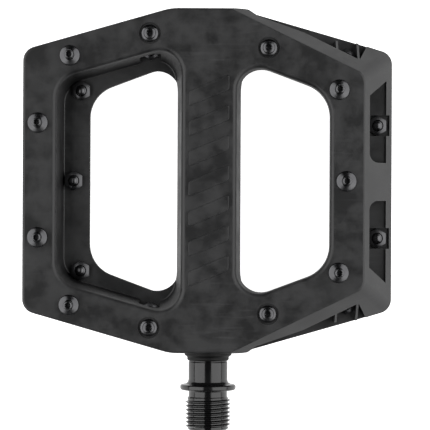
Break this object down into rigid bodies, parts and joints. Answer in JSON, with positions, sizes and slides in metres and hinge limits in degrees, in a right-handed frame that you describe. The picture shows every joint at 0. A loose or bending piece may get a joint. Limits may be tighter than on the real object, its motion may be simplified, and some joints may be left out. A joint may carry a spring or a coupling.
{
  "type": "flat bicycle pedal",
  "caption": "Right-hand flat bicycle pedal: moulded platform with two open windows and replaceable tread pins, turning on a threaded axle with a bush and a ball bearing.",
  "frame": {"origin": "on the axle's axis, in the plane of the shoulder that bears on the crank arm", "axes": "+Y outwards along the axle to the end cap, +X fore and aft, +Z out of the upper tread"},
  "size_m": [0.1164, 0.1327, 0.0296],
  "materials": {
    "moulded_nylon": "matt moulded glass-filled nylon with faint flow marks and scuffs",
    "moulded_cap": "satin moulded plastic",
    "black_steel": "turned alloy steel, black oxide, satin gloss",
    "pin_steel": "turned steel, black zinc",
    "nut_steel": "black zinc",
    "seal_rubber": "smooth black nitrile",
    "shield_rubber": "smooth black rubber on a steel disc",
    "bush_metal": "sintered bronze",
    "bearing_steel": "ground and polished",
    "cage_plastic": "moulded nylon, natural",
    "zinc_steel": "bright zinc"
  },
  "bodies": {
    "spindle": {"axle": "black_steel", "bearing_inner_ring": "bearing_steel", "lock_washer": "zinc_steel", "lock_nut": "zinc_steel"},
    "platform": {"platform_body": "moulded_nylon", "upper_pin_01": "pin_steel", "upper_pin_02": "pin_steel", "upper_pin_03": "pin_steel", "upper_pin_04": "pin_steel", "upper_pin_05": "pin_steel", "upper_pin_06": "pin_steel", "upper_pin_07": "pin_steel", "upper_pin_08": "pin_steel", "upper_pin_09": "pin_steel", "upper_pin_10": "pin_steel", "upper_pin_11": "pin_steel", "lower_pin_01": "pin_steel", "lower_pin_02": "pin_steel", "lower_pin_03": "pin_steel", "lower_pin_04": "pin_steel", "lower_pin_05": "pin_steel", "lower_pin_06": "pin_steel", "lower_pin_07": "pin_steel", "lower_pin_08": "pin_steel", "lower_pin_09": "pin_steel", "lower_pin_10": "pin_steel", "lower_pin_11": "pin_steel", "upper_nut_01": "nut_steel", "upper_nut_02": "nut_steel", "upper_nut_03": "nut_steel", "upper_nut_04": "nut_steel", "upper_nut_05": "nut_steel", "upper_nut_06": "nut_steel", "upper_nut_07": "nut_steel", "upper_nut_08": "nut_steel", "upper_nut_09": "nut_steel", "upper_nut_10": "nut_steel", "upper_nut_11": "nut_steel", "lower_nut_01": "nut_steel", "lower_nut_02": "nut_steel", "lower_nut_03": "nut_steel", "lower_nut_04": "nut_steel", "lower_nut_05": "nut_steel", "lower_nut_06": "nut_steel", "lower_nut_07": "nut_steel", "lower_nut_08": "nut_steel", "lower_nut_09": "nut_steel", "lower_nut_10": "nut_steel", "lower_nut_11": "nut_steel", "inboard_bush": "bush_metal", "lip_seal": "seal_rubber", "bearing_outer_ring": "bearing_steel", "inboard_shield": "shield_rubber", "outboard_shield": "shield_rubber", "end_cap": "moulded_cap", "end_cap_ring": "seal_rubber"},
    "bearing_cage_set": {"bearing_balls": "bearing_steel", "bearing_cage": "cage_plastic"}
  },
  "joints": [
    {"name": "platform_spin", "type": "hinge", "parent": "spindle", "child": "platform", "pos_m": [0, 0, 0], "axis": [0, 1, 0], "continuous": true},
    {"name": "cage_spin", "type": "hinge", "parent": "spindle", "child": "bearing_cage_set", "pos_m": [0, 0, 0], "axis": [0, 1, 0], "continuous": true}
  ],
  "couplings": [
    {"joint": "cage_spin", "follows": "platform_spin", "ratio": 0.5952}
  ]
}
